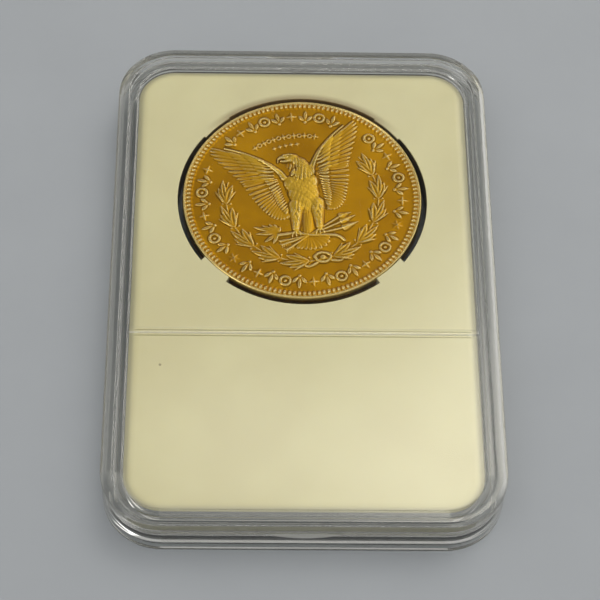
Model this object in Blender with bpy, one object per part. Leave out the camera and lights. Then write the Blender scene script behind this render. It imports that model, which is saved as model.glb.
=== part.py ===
"""A graded coin slab: two clear shells that close over a soft insert, a coin and a label card.

The slab lies on its label side. +X is its width, +Y its length and +Z is up, and the origin is the
middle of its footprint on the table. Constants are millimetres and degrees.
"""

import math

import bmesh
import bpy
from mathutils import Vector

MM = 0.001

# Closed slab
SLAB_WIDTH = 59.4
SLAB_LENGTH = 86.6
SLAB_HEIGHT = 8.2
CORNER_RADIUS = 9.0
CORNER_STEPS = 10

# Shell section. An inset is measured inwards from the slab's outer face. Between the two shells'
# walls the side has a waist, which the seam runs round.
WALL_HEIGHT = 2.6
WAIST_DEPTH = 0.4
WAIST_SLOPE = 0.4
SEAM_GAP = 0.04
EDGE_BREAK = 0.12
SHOULDER_INSET = 0.75
SHOULDER_DROP = 0.15
RIM_INNER_INSET = 1.7
LEDGE_DROP = 0.8
LEDGE_INNER_INSET = 3.0
WINDOW_DROP = 1.1
PLATE_THICKNESS = 1.05

# Tongue on the lower shell, groove in the upper one
TONGUE_OUTER_INSET = 1.75
TONGUE_INNER_INSET = 2.3
TONGUE_HEIGHT = 0.75
TONGUE_CLEARANCE = 0.06

# Divider rib across the upper window
RIB_Y = -10.1
RIB_WIDTH = 1.1
RIB_HEIGHT = 0.25
RIB_ROOT = 0.3
RIB_SIDE_SLOPE = 0.15

# Grip tabs: in the middle of each short end the upper wall bows down over the waist to the seam
TAB_HALF_WIDTH = 6.1
TAB_SEAM_CLEARANCE = 0.05
TAB_SET_BACK = 0.03
TAB_ROOT = 0.3
TAB_STEPS = 12

# Insert
CORE_SIDE_GAP = 0.2
CORE_FACE_GAP = 0.05
CORE_BORDER_WIDTH = 1.7
CORE_BORDER_DROP = 0.35
CORE_BORDER_STEPS = 4

# Coin well, with four prongs. They hold the coin a little nearer to the well's far side.
WELL_Y = 15.0
WELL_RADIUS = 19.75
COIN_Y = 15.5
PRONG_ANGLES = (45.0, 135.0, 225.0, 315.0)
PRONG_HALF_ANGLE = 8.0
PRONG_GAP = 0.1
TOE_RADIUS = 18.45
WELL_STEP = 4.0

# Coin, of dollar size. It stands a little below the insert's top face.
COIN_RADIUS = 19.05
COIN_THICKNESS = 2.4
COIN_RECESS = 0.3
COIN_RIM_WIDTH = 0.8
COIN_RIM_HEIGHT = 0.25
COIN_RIM_SLOPE = 0.3
REED_COUNT = 120
REED_DEPTH = 0.08
COIN_TOE_GAP = 0.02

# Label card in its pocket on the insert's underside
LABEL_WIDTH = 50.0
LABEL_LENGTH = 27.0
LABEL_THICKNESS = 0.3
LABEL_CORNER = 1.0
LABEL_Y = -24.8
LABEL_GAP = 0.15
LABEL_POCKET_DEPTH = 0.36
LABEL_FACE_GAP = 0.03

# Heights that follow
SEAM_HEIGHT = SLAB_HEIGHT / 2
CAVITY_FLOOR = WINDOW_DROP + PLATE_THICKNESS
CAVITY_ROOF = SLAB_HEIGHT - CAVITY_FLOOR
CORE_BOTTOM = CAVITY_FLOOR + CORE_FACE_GAP
CORE_TOP = CAVITY_ROOF - CORE_FACE_GAP
COIN_BOTTOM = CORE_TOP - COIN_RECESS - COIN_THICKNESS
TOE_TOP = COIN_BOTTOM - COIN_TOE_GAP
LABEL_BOTTOM = CAVITY_FLOOR + LABEL_FACE_GAP

# A cutter runs this far past the face that it opens
CUTTER_OVERRUN = 1.0
WELD_DISTANCE = 1e-7
SMOOTH_ANGLE = 30.0


def clear_scene():
    for existing in list(bpy.data.objects):
        bpy.data.objects.remove(existing, do_unlink=True)


def make_material(name, colour, roughness, metallic=0.0, transmission=0.0):
    material = bpy.data.materials.new(name)
    material.use_nodes = True
    shader = material.node_tree.nodes["Principled BSDF"]
    shader.inputs["Base Color"].default_value = (*colour, 1.0)
    shader.inputs["Roughness"].default_value = roughness
    shader.inputs["Metallic"].default_value = metallic
    shader.inputs["Transmission Weight"].default_value = transmission
    return material


def rounded_rectangle(half_x, half_y, radius):
    """(x, y) points counter-clockwise round a rectangle with round corners."""
    outline = []
    for quarter, (side_x, side_y) in enumerate(((1, 1), (-1, 1), (-1, -1), (1, -1))):
        for step in range(CORNER_STEPS + 1):
            angle = math.radians(90 * (quarter + step / CORNER_STEPS))
            x = side_x * (half_x - radius) + radius * math.cos(angle)
            y = side_y * (half_y - radius) + radius * math.sin(angle)
            outline.append((x, y))
    return outline


def slab_ring(inset, height):
    """The slab's outline, moved inwards, at a height."""
    outline = rounded_rectangle(
        SLAB_WIDTH / 2 - inset, SLAB_LENGTH / 2 - inset, CORNER_RADIUS - inset
    )
    return [(x, y, height) for x, y in outline]


def loft(name, rings, origin, material=None):
    """A closed solid through a row of rings, with a flat cap on the first and the last.

    Rings and origin are in millimetres. The object's own origin goes to origin.
    """
    shift = Vector(origin)
    body = bmesh.new()
    loops = []
    for ring in rings:
        loops.append([body.verts.new((Vector(point) - shift) * MM) for point in ring])
    count = len(rings[0])
    for loop, next_loop in zip(loops, loops[1:]):
        for index in range(count):
            after = (index + 1) % count
            body.faces.new((loop[index], loop[after], next_loop[after], next_loop[index]))
    body.faces.new(loops[0])
    body.faces.new(loops[-1])
    return finish_body(name, body, shift, material)


def finish_body(name, body, shift, material):
    """Turns a bmesh into an object that stands at shift."""
    bmesh.ops.remove_doubles(body, verts=body.verts, dist=WELD_DISTANCE)
    bmesh.ops.recalc_face_normals(body, faces=body.faces)
    mesh = bpy.data.meshes.new(name)
    body.to_mesh(mesh)
    body.free()
    made = bpy.data.objects.new(name, mesh)
    bpy.context.scene.collection.objects.link(made)
    made.location = shift * MM
    if material:
        mesh.materials.append(material)
    return made


def shade_round(made):
    """Smooth shading with crisp edges where two faces meet at more than SMOOTH_ANGLE."""
    mesh = made.data
    mesh.polygons.foreach_set("use_smooth", [True] * len(mesh.polygons))
    mesh.set_sharp_from_angle(angle=math.radians(SMOOTH_ANGLE))


def use_as_tool(target, tool, operation, name):
    """Adds a Boolean to target and hides the tool that it uses."""
    tool.hide_render = True
    tool.display_type = "WIRE"
    modifier = target.modifiers.new(name, "BOOLEAN")
    modifier.operation = operation
    modifier.solver = "EXACT"
    modifier.object = tool


def shell_half_profile():
    """(inset, distance from the slab's nearer face) from the window out to the seam."""
    return [
        (LEDGE_INNER_INSET + EDGE_BREAK, WINDOW_DROP),
        (LEDGE_INNER_INSET, LEDGE_DROP),
        (RIM_INNER_INSET + EDGE_BREAK, LEDGE_DROP),
        (RIM_INNER_INSET, EDGE_BREAK),
        (RIM_INNER_INSET - EDGE_BREAK, 0.0),
        (SHOULDER_INSET, 0.0),
        (EDGE_BREAK, SHOULDER_DROP),
        (0.0, SHOULDER_DROP + EDGE_BREAK),
        (0.0, WALL_HEIGHT),
        (WAIST_DEPTH, WALL_HEIGHT + WAIST_SLOPE),
        (WAIST_DEPTH, SEAM_HEIGHT - SEAM_GAP / 2),
    ]


def grip_tab(name, end):
    """The tab at the end on the -Y or +Y side, sunk into the wall above and behind it."""
    wall_edge = SLAB_HEIGHT - WALL_HEIGHT
    fall = wall_edge - SEAM_HEIGHT - TAB_SEAM_CLEARANCE
    bow_radius = (TAB_HALF_WIDTH**2 + fall**2) / (2 * fall)
    bow_angle = math.asin(TAB_HALF_WIDTH / bow_radius)
    section = []
    for step in range(TAB_STEPS + 1):
        angle = bow_angle * (2 * step / TAB_STEPS - 1)
        drop = fall - bow_radius * (1 - math.cos(angle))
        section.append((bow_radius * math.sin(angle), wall_edge - drop))
    section.append((TAB_HALF_WIDTH, wall_edge + TAB_ROOT))
    section.append((-TAB_HALF_WIDTH, wall_edge + TAB_ROOT))
    front = SLAB_LENGTH / 2 - TAB_SET_BACK
    back = SLAB_LENGTH / 2 - WAIST_DEPTH - TAB_ROOT
    rings = [[(x, end * y, height) for x, height in section] for y in (front, back)]
    return loft(name, rings, (0, end * front, wall_edge))


def divider_rib():
    """The rib's body, sunk into the window plate and into the ledges at its ends."""
    half_length = SLAB_WIDTH / 2 - LEDGE_INNER_INSET + RIB_ROOT
    window_top = SLAB_HEIGHT - WINDOW_DROP
    half_width = RIB_WIDTH / 2
    section = [
        (-half_width, window_top - RIB_ROOT),
        (half_width, window_top - RIB_ROOT),
        (half_width, window_top),
        (half_width - RIB_SIDE_SLOPE, window_top + RIB_HEIGHT),
        (-half_width + RIB_SIDE_SLOPE, window_top + RIB_HEIGHT),
        (-half_width, window_top),
    ]
    rings = [
        [(x, RIB_Y + across, height) for across, height in section]
        for x in (-half_length, half_length)
    ]
    return loft("rib_tool", rings, (0, RIB_Y, window_top))


def make_upper_shell():
    outside = [slab_ring(inset, SLAB_HEIGHT - drop) for inset, drop in shell_half_profile()]
    seam = SEAM_HEIGHT + SEAM_GAP / 2
    groove_top = SEAM_HEIGHT + TONGUE_HEIGHT + TONGUE_CLEARANCE
    inside = [
        slab_ring(TONGUE_OUTER_INSET - TONGUE_CLEARANCE, seam),
        slab_ring(TONGUE_OUTER_INSET - TONGUE_CLEARANCE, groove_top),
        slab_ring(TONGUE_INNER_INSET + TONGUE_CLEARANCE, groove_top),
        slab_ring(TONGUE_INNER_INSET + TONGUE_CLEARANCE, seam),
        slab_ring(LEDGE_INNER_INSET, seam),
        slab_ring(LEDGE_INNER_INSET, CAVITY_ROOF),
    ]
    clear = make_material("upper_shell_clear", (0.86, 0.88, 0.87), 0.06, transmission=0.9)
    shell = loft("upper_shell", outside + inside, (0, 0, seam), clear)
    use_as_tool(shell, divider_rib(), "UNION", "divider rib")
    use_as_tool(shell, grip_tab("tab_near_tool", -1), "UNION", "near tab")
    use_as_tool(shell, grip_tab("tab_far_tool", 1), "UNION", "far tab")
    return shell


def make_lower_shell():
    outside = [slab_ring(inset, drop) for inset, drop in shell_half_profile()]
    seam = SEAM_HEIGHT - SEAM_GAP / 2
    inside = [
        slab_ring(TONGUE_OUTER_INSET, seam),
        slab_ring(TONGUE_OUTER_INSET, SEAM_HEIGHT + TONGUE_HEIGHT),
        slab_ring(TONGUE_INNER_INSET, SEAM_HEIGHT + TONGUE_HEIGHT),
        slab_ring(TONGUE_INNER_INSET, seam),
        slab_ring(LEDGE_INNER_INSET, seam),
        slab_ring(LEDGE_INNER_INSET, CAVITY_FLOOR),
    ]
    clear = make_material("lower_shell_clear", (0.84, 0.86, 0.86), 0.07, transmission=0.9)
    return loft("lower_shell", outside + inside, (0, 0, 0), clear)


def well_outline():
    """(x, y) round the open well: wide arcs, and narrower ones at the prongs' toes."""
    outline = []
    for prong in PRONG_ANGLES:
        toe_start = prong - PRONG_HALF_ANGLE
        toe_end = prong + PRONG_HALF_ANGLE
        gap_end = prong + 90.0 - PRONG_HALF_ANGLE
        for radius, centre_y, start, end in (
            (TOE_RADIUS, COIN_Y, toe_start, toe_end),
            (WELL_RADIUS, WELL_Y, toe_end, gap_end),
        ):
            steps = round((end - start) / WELL_STEP)
            for step in range(steps + 1):
                angle = math.radians(start + (end - start) * step / steps)
                outline.append(
                    (radius * math.cos(angle), centre_y + radius * math.sin(angle))
                )
    return outline


def seat_outline():
    """(x, y) of the circle that the prongs' faces lie on."""
    radius = COIN_RADIUS + PRONG_GAP
    steps = round(360.0 / WELL_STEP)
    outline = []
    for step in range(steps):
        angle = math.radians(360.0 * step / steps)
        outline.append((radius * math.cos(angle), COIN_Y + radius * math.sin(angle)))
    return outline


def label_outline(margin):
    outline = rounded_rectangle(
        LABEL_WIDTH / 2 + margin, LABEL_LENGTH / 2 + margin, LABEL_CORNER + margin
    )
    return [(x, LABEL_Y + y) for x, y in outline]


def prism(name, outline, bottom, top, origin, material=None):
    rings = [[(x, y, height) for x, y in outline] for height in (bottom, top)]
    return loft(name, rings, origin, material)


def make_core():
    side = LEDGE_INNER_INSET + CORE_SIDE_GAP
    rings = [
        slab_ring(side + EDGE_BREAK, CORE_BOTTOM),
        slab_ring(side, CORE_BOTTOM + EDGE_BREAK),
    ]
    # The top face rolls off towards the insert's edge along a parabola.
    for step in range(CORE_BORDER_STEPS + 1):
        share = step / CORE_BORDER_STEPS
        drop = CORE_BORDER_DROP * (1 - share) ** 2
        rings.append(slab_ring(side + CORE_BORDER_WIDTH * share, CORE_TOP - drop))
    cream = make_material("core_cream", (0.62, 0.57, 0.36), 0.45)
    core = loft("core_insert", rings, (0, 0, CORE_BOTTOM), cream)
    below = CORE_BOTTOM - CUTTER_OVERRUN
    above = CORE_TOP + CUTTER_OVERRUN
    well_origin = (0, COIN_Y, CORE_BOTTOM)
    well = prism("well_tool", well_outline(), below, above, well_origin)
    seat = prism("seat_tool", seat_outline(), TOE_TOP, above, well_origin)
    pocket_roof = CORE_BOTTOM + LABEL_POCKET_DEPTH
    pocket = prism(
        "pocket_tool", label_outline(LABEL_GAP), below, pocket_roof, (0, LABEL_Y, CORE_BOTTOM)
    )
    use_as_tool(core, well, "DIFFERENCE", "well")
    use_as_tool(core, seat, "DIFFERENCE", "coin seat")
    use_as_tool(core, pocket, "DIFFERENCE", "label pocket")
    return core


def coin_ring(radius, height, reed=0.0):
    """A ring of the coin. Every second point is reed deeper than the first."""
    ring = []
    for index in range(2 * REED_COUNT):
        angle = math.pi * index / REED_COUNT
        here = radius - reed * (index % 2)
        ring.append((here * math.cos(angle), COIN_Y + here * math.sin(angle), height))
    return ring


def make_coin():
    rim_inner = COIN_RADIUS - COIN_RIM_WIDTH
    field_edge = rim_inner - COIN_RIM_SLOPE
    face_rings = [
        (field_edge, COIN_RIM_HEIGHT, 0.0),
        (rim_inner, 0.0, 0.0),
        (COIN_RADIUS - EDGE_BREAK, 0.0, 0.0),
        (COIN_RADIUS, EDGE_BREAK, REED_DEPTH),
    ]
    rings = [coin_ring(radius, COIN_BOTTOM + depth, reed) for radius, depth, reed in face_rings]
    coin_top = COIN_BOTTOM + COIN_THICKNESS
    for radius, depth, reed in reversed(face_rings):
        rings.append(coin_ring(radius, coin_top - depth, reed))
    gold = make_material("coin_gold", (0.66, 0.42, 0.10), 0.32, metallic=1.0)
    return loft("coin", rings, (0, COIN_Y, COIN_BOTTOM), gold)


def make_label():
    paper = make_material("label_paper", (0.80, 0.79, 0.75), 0.7)
    top = LABEL_BOTTOM + LABEL_THICKNESS
    origin = (0, LABEL_Y, LABEL_BOTTOM)
    return prism("label_card", label_outline(0), LABEL_BOTTOM, top, origin, paper)


def stack(pieces):
    """Parents each piece to the one below it, where it already stands."""
    for lower, upper in zip(pieces, pieces[1:]):
        upper.parent = lower
        upper.matrix_parent_inverse = lower.matrix_world.inverted()


def main():
    clear_scene()
    lower_shell = make_lower_shell()
    label_card = make_label()
    core_insert = make_core()
    coin = make_coin()
    upper_shell = make_upper_shell()
    for piece in (lower_shell, label_card, core_insert, coin, upper_shell):
        shade_round(piece)
    bpy.context.view_layer.update()
    stack([lower_shell, label_card, core_insert, coin, upper_shell])


main()
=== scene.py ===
"""Looks of the graded coin slab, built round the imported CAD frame.

The frame is in metres. Shapes here are drawn in millimetres, in the frame's own axes, and scaled
by MM. Each CAD node is replaced by a finer piece of the same size that rides on the same body.
"""

import math

import bmesh
import bpy
import numpy as np
from mathutils import Matrix, Vector


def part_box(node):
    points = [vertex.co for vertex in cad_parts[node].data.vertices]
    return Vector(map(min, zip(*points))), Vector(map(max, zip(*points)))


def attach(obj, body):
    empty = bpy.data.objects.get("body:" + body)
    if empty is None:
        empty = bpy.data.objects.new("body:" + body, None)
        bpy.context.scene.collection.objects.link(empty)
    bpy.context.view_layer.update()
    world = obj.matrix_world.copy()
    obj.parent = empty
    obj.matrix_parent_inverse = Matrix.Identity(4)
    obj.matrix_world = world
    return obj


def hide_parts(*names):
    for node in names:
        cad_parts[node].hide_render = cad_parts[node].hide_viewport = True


MM = 0.001

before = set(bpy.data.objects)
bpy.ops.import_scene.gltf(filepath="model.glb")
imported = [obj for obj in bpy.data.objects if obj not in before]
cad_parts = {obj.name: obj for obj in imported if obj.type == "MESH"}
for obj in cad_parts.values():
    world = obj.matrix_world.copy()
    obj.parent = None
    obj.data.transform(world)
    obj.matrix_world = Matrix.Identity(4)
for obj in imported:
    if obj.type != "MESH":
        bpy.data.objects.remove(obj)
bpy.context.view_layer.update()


def node_box(name):
    """A CAD node's lowest and highest corners, in millimetres."""
    low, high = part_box(name)
    return low / MM, high / MM


SHELL_LOW, SHELL_HIGH = node_box("upper_shell")
_, BASE_HIGH = node_box("lower_shell")
CORE_LOW, CORE_HIGH = node_box("core_insert")
COIN_LOW, COIN_HIGH = node_box("coin")
LABEL_LOW, LABEL_HIGH = node_box("label_card")

# ---------------------------------------------------------------- sizes, in millimetres
SLAB_HALF = Vector(((SHELL_HIGH.x - SHELL_LOW.x) / 2, (SHELL_HIGH.y - SHELL_LOW.y) / 2))
SLAB_TOP = SHELL_HIGH.z
SEAM = SLAB_TOP / 2
SEAM_GAP = 2 * (SHELL_LOW.z - SEAM)
CORNER_RADIUS = 9.0
CORNER_STEPS = 24
FILLET_STEPS = 4
FILLET_REACH = 0.49
SHORTEST_FILLET = 0.0001

WALL_HEIGHT = 2.6
WAIST_DEPTH = 0.4
WAIST_SLOPE = 0.4
SHOULDER_INSET = 0.75
SHOULDER_DROP = 0.15
RIM_INNER_INSET = 1.7
LEDGE_DROP = 0.8
LEDGE_INNER_INSET = 3.0
WINDOW_DROP = 1.1
PLATE = 1.05
TONGUE_OUTER_INSET = 1.75
TONGUE_INNER_INSET = 2.3
TONGUE_CLEARANCE = 0.06
TONGUE_TOP = BASE_HIGH.z

RIB_Y = -10.1
RIB_WIDTH = 1.1
RIB_HEIGHT = 0.24
RIB_SIDE_SLOPE = 0.2
TAB_HALF_WIDTH = 6.1
TAB_FALL = SEAM - WALL_HEIGHT - 0.05
TAB_SET_BACK = 0.03

COIN_CENTRE = (COIN_LOW + COIN_HIGH) / 2
COIN_RADIUS = (COIN_HIGH.x - COIN_LOW.x) / 2
COIN_TOP = COIN_HIGH.z
COIN_BOTTOM = COIN_LOW.z
# The bird leans this far, because the coin sits a little turned in its well.
COIN_TURN = 14.2
FIELD_DEPTH = 0.26
FIELD_RADIUS = 17.45
BEAD_COUNT = 148
POINTS_PER_BEAD = 10
BEAD_RING = (17.66, 18.46)
BEAD_HEIGHT = 0.32
RIM_RADIUS = 18.6
REED_COUNT = 180
REED_DEPTH = 0.03

WELL_Y = 15.0
WELL_RADIUS = 19.75
SEAT_GAP = 0.1
PRONG_HALF_ANGLE = 8.0
TOE_RADIUS = 18.45
TOE_TOP = COIN_BOTTOM - 0.02
BORDER_WIDTH = 1.7
BORDER_DROP = 0.35
POCKET_GAP = 0.15
POCKET_DEPTH = 0.36
CORE_EDGE = 0.12
# Two fine scored lines on the insert, under the divider's sides
SCORE_OFFSET = 0.45
SCORE_HALF_WIDTH = 0.1
SCORE_DEPTH = 0.16


# ---------------------------------------------------------------- mesh helpers
def new_object(name, mesh):
    made = bpy.data.objects.new(name, mesh)
    bpy.context.scene.collection.objects.link(made)
    return made


def shade_by_angle(mesh, degrees):
    mesh.polygons.foreach_set("use_smooth", [True] * len(mesh.polygons))
    mesh.set_sharp_from_angle(angle=math.radians(degrees))


def loft(name, rings):
    """A closed body through a row of rings of (x, y, z), capped at both ends."""
    body = bmesh.new()
    loops = [[body.verts.new(Vector(point) * MM) for point in ring] for ring in rings]
    count = len(rings[0])
    for loop, following in zip(loops, loops[1:]):
        for index in range(count):
            after = (index + 1) % count
            body.faces.new((loop[index], loop[after], following[after], following[index]))
    body.faces.new(loops[0])
    body.faces.new(loops[-1])
    bmesh.ops.recalc_face_normals(body, faces=body.faces)
    mesh = bpy.data.meshes.new(name)
    body.to_mesh(mesh)
    body.free()
    return new_object(name, mesh)


def apply_modifiers(piece):
    graph = bpy.context.evaluated_depsgraph_get()
    mesh = bpy.data.meshes.new_from_object(piece.evaluated_get(graph))
    piece.modifiers.clear()
    piece.data = mesh


def combine(piece, tool, operation):
    """Joins or cuts piece with tool, then deletes tool."""
    modifier = piece.modifiers.new("combine", "BOOLEAN")
    modifier.operation = operation
    modifier.solver = "EXACT"
    modifier.object = tool
    apply_modifiers(piece)
    bpy.data.objects.remove(tool, do_unlink=True)


def flatten_normals(piece):
    """Keeps the large faces flat where fillets meet them."""
    modifier = piece.modifiers.new("weighted normals", "WEIGHTED_NORMAL")
    modifier.keep_sharp = True
    modifier.weight = 100
    apply_modifiers(piece)


def rounded_rectangle(half_x, half_y, radius, steps=CORNER_STEPS):
    outline = []
    for quarter, (side_x, side_y) in enumerate(((1, 1), (-1, 1), (-1, -1), (1, -1))):
        for step in range(steps + 1):
            angle = math.radians(90 * (quarter + step / steps))
            x = side_x * (half_x - radius) + radius * math.cos(angle)
            y = side_y * (half_y - radius) + radius * math.sin(angle)
            outline.append((x, y))
    return outline


def slab_ring(inset, height):
    outline = rounded_rectangle(
        SLAB_HALF.x - inset, SLAB_HALF.y - inset, CORNER_RADIUS - inset
    )
    return [(x, y, height) for x, y in outline]


def fillet(profile):
    """Rounds a profile's inner corners. Each entry is (inset, height, fillet radius)."""
    rounded = [profile[0][:2]]
    for before, here, after in zip(profile, profile[1:], profile[2:]):
        corner = Vector(here[:2])
        to_before = Vector(before[:2]) - corner
        to_after = Vector(after[:2]) - corner
        turn = to_before.angle(to_after)
        reach = here[2] / math.tan(turn / 2)
        # Two fillets may share an edge, so each takes less than half of it.
        reach = min(reach, to_before.length * FILLET_REACH, to_after.length * FILLET_REACH)
        if reach < SHORTEST_FILLET:
            rounded.append(here[:2])
            continue
        start = corner + to_before.normalized() * reach
        end = corner + to_after.normalized() * reach
        for step in range(FILLET_STEPS + 1):
            share = step / FILLET_STEPS
            point = start.lerp(corner, share).lerp(corner.lerp(end, share), share)
            rounded.append(tuple(point))
    rounded.append(profile[-1][:2])
    return rounded


# ---------------------------------------------------------------- material helper
class Shader:
    """Builds the node tree of a material, a lamp or the world. A colour is (red, green, blue)."""

    def __init__(self, owner):
        owner.use_nodes = True
        self.owner = owner
        self.tree = owner.node_tree
        self.tree.nodes.clear()

    def add(self, kind, inputs=None, **settings):
        """Makes a node, sets it and links it."""
        node = self.tree.nodes.new("ShaderNode" + kind)
        for key, value in settings.items():
            setattr(node, key, value)
        for key, value in (inputs or {}).items():
            socket = node.inputs[key]
            if isinstance(value, bpy.types.NodeSocket):
                self.tree.links.new(value, socket)
            elif socket.type == "RGBA":
                socket.default_value = (*value, 1.0)
            else:
                socket.default_value = value
        return node

    def math(self, operation, first, second=0.0, third=0.0):
        node = self.add("Math", {0: first, 1: second, 2: third}, operation=operation)
        return node.outputs[0]

    def product(self, *values):
        result = values[0]
        for value in values[1:]:
            result = self.math("MULTIPLY", result, value)
        return result

    def vector(self, operation, first, second=(0.0, 0.0, 0.0)):
        outputs = self.add("VectorMath", {0: first, 1: second}, operation=operation).outputs
        return outputs["Value" if operation in ("LENGTH", "DOT_PRODUCT") else "Vector"]

    def axes(self, vector):
        """A vector's x, y and z."""
        return list(self.add("SeparateXYZ", {0: vector}).outputs)

    def ramp(self, value, low, high, bottom=0.0, top=1.0):
        """A smooth step of value from low to high."""
        node = self.add(
            "MapRange",
            {"Value": value, "From Min": low, "From Max": high, "To Min": bottom, "To Max": top},
            interpolation_type="SMOOTHSTEP",
        )
        return node.outputs["Result"]

    def ramp_mm(self, length, low, high, bottom=0.0, top=1.0):
        """A smooth step of a length in metres, between two lengths in millimetres."""
        return self.ramp(length, low * MM, high * MM, bottom, top)

    def blend(self, share, first, second):
        """Mixes two colours."""
        return self.add("Mix", {0: share, 6: first, 7: second}, data_type="RGBA").outputs[2]

    def place(self):
        """The point's place in the slab's frame, in metres."""
        return self.add("TexCoord").outputs["Object"]

    def outward(self, where):
        """How far a point lies outside the rectangle of the corner arcs' centres, in metres."""
        total = 0.0
        for along_axis, half in zip(self.axes(where), SLAB_HALF):
            size = self.math("ABSOLUTE", along_axis)
            beyond = self.math("SUBTRACT", size, (half - CORNER_RADIUS) * MM)
            beyond = self.math("MAXIMUM", beyond, 0.0)
            total = self.math("MULTIPLY_ADD", beyond, beyond, total)
        return self.math("SQRT", total)

    def noise(self, where, scale, detail=2.0, roughness=0.5, stretch=None, turn=0.0):
        """Noise with scale cells to the metre, or stretched and then turned, in degrees."""
        if stretch:
            turned = (0.0, 0.0, math.radians(turn))
            inputs = {"Vector": where, "Rotation": turned, "Scale": stretch}
            where = self.add("Mapping", inputs).outputs["Vector"]
        inputs = {"Vector": where, "Scale": scale, "Detail": detail, "Roughness": roughness}
        return self.add("TexNoise", inputs).outputs["Fac"]

    def bump(self, height, strength, depth):
        """A normal from a height of 0 to 1 that stands for depth millimetres."""
        inputs = {"Height": height, "Strength": strength, "Distance": depth * MM}
        return self.add("Bump", inputs).outputs["Normal"]

    def principled(self, colour, roughness, normal, **more):
        """Ends the tree with a Principled surface. more holds its other inputs' values."""
        inputs = {"Base Color": colour, "Roughness": roughness, "Normal": normal}
        for name, value in more.items():
            inputs[name.replace("_", " ").title()] = value
        return self.finish(self.add("BsdfPrincipled", inputs))

    def mix(self, share, first, second):
        """Mixes the surfaces of two nodes."""
        return self.add("MixShader", {0: share, 1: first.outputs[0], 2: second.outputs[0]})

    def finish(self, surface, output="OutputMaterial"):
        self.add(output, {"Surface": surface.outputs[0]})
        return self.owner


def dress(piece, material, node):
    """Gives a piece its material and puts it in a CAD node's place, on that node's body."""
    piece.data.materials.clear()
    piece.data.materials.append(material)
    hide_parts(node)
    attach(piece, node)


# ---------------------------------------------------------------- clear shells
UPPER_WINDOW_TINT = (0.985, 0.985, 0.975)
UPPER_RIM_TINT = (0.985, 0.983, 0.97)
LOWER_WINDOW_TINT = (0.975, 0.98, 0.97)
LOWER_RIM_TINT = (0.98, 0.978, 0.965)
HAZE_TINT = (0.8, 0.79, 0.76)
HAZE_TINT_SHARE = 0.12
PLASTIC_IOR = 1.5
# Roughness of clean plastic, and what haze and scuffs add to it
CLEAN_ROUGHNESS = 0.015
HAZE_ROUGHNESS = 0.02
SCUFF_ROUGHNESS = 0.14
# What light keeps on its straight way through the window and through the thick rim
WINDOW_SHADOW = (0.985, 0.985, 0.98)
RIM_SHADOW = (0.88, 0.885, 0.885)
# How much of the light each handled or scuffed place scatters, as a share
MATT_COLOUR = (0.78, 0.77, 0.73)
RIM_MATT = 0.03
WAIST_MATT = 0.1
TAB_MATT = 0.35
DIVIDER_MATT = 0.26
DIVIDER_TOP_SHARE = 0.1
# The scuffs' directions in degrees, each with a shift that gives it a pattern of its own
SCUFF_DIRECTIONS = ((12.0, 0.0), (64.0, 3.1), (-38.0, 7.7))
SCUFF_STRETCH = (6000.0, 160.0, 160.0)

SHELL_SHARP_ANGLE = 32
SHELL_CAP_INSET = LEDGE_INNER_INSET + 0.6
RIB_ROOT = 0.3
RIB_EDGE = 0.03
TAB_ROOT = 0.3
TAB_STEPS = 32


def scratches(shader, where):
    """Fine straight scuffs in three directions, 0 to 1."""
    total = 0.0
    for turn, shift in SCUFF_DIRECTIONS:
        shifted = shader.vector("ADD", where, (shift, shift, 0.0))
        streak = shader.noise(shifted, 1.0, 1.0, 0.4, SCUFF_STRETCH, turn)
        patch = shader.noise(shifted, 70.0, detail=1.0)
        line = shader.product(shader.ramp(streak, 0.68, 0.76), shader.ramp(patch, 0.5, 0.68))
        total = shader.math("MAXIMUM", total, line)
    return total


def scattered_share(shader, where, outward, in_window):
    """The share of light that the outer skin, the grip tabs and the divider's sides scatter."""
    x, _, z = shader.axes(where)
    from_seam = shader.math("ABSOLUTE", shader.math("SUBTRACT", z, SEAM * MM))
    skin = CORNER_RADIUS - SHOULDER_INSET
    on_skin = shader.product(
        shader.ramp_mm(from_seam, 1.0, 1.6, WAIST_MATT, RIM_MATT),
        shader.ramp_mm(outward, skin - 0.1, skin + 0.1),
    )
    from_middle = shader.math("ABSOLUTE", x)
    on_tab = shader.product(
        shader.ramp_mm(from_middle, TAB_HALF_WIDTH, TAB_HALF_WIDTH + 0.1, TAB_MATT, 0.0),
        shader.ramp_mm(outward, CORNER_RADIUS - 0.2, CORNER_RADIUS - 0.1),
        shader.ramp_mm(from_seam, TAB_FALL - 0.1, TAB_FALL + 0.05, 1.0, 0.0),
    )
    plate_top = SLAB_TOP - WINDOW_DROP
    rib_top = plate_top + RIB_HEIGHT
    on_divider = shader.product(
        shader.ramp_mm(z, plate_top + 0.01, plate_top + 0.03),
        shader.ramp_mm(z, rib_top - 0.03, rib_top - 0.01, 1.0, DIVIDER_TOP_SHARE),
        in_window,
        DIVIDER_MATT,
    )
    return shader.math("MAXIMUM", shader.math("MAXIMUM", on_skin, on_tab), on_divider)


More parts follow.
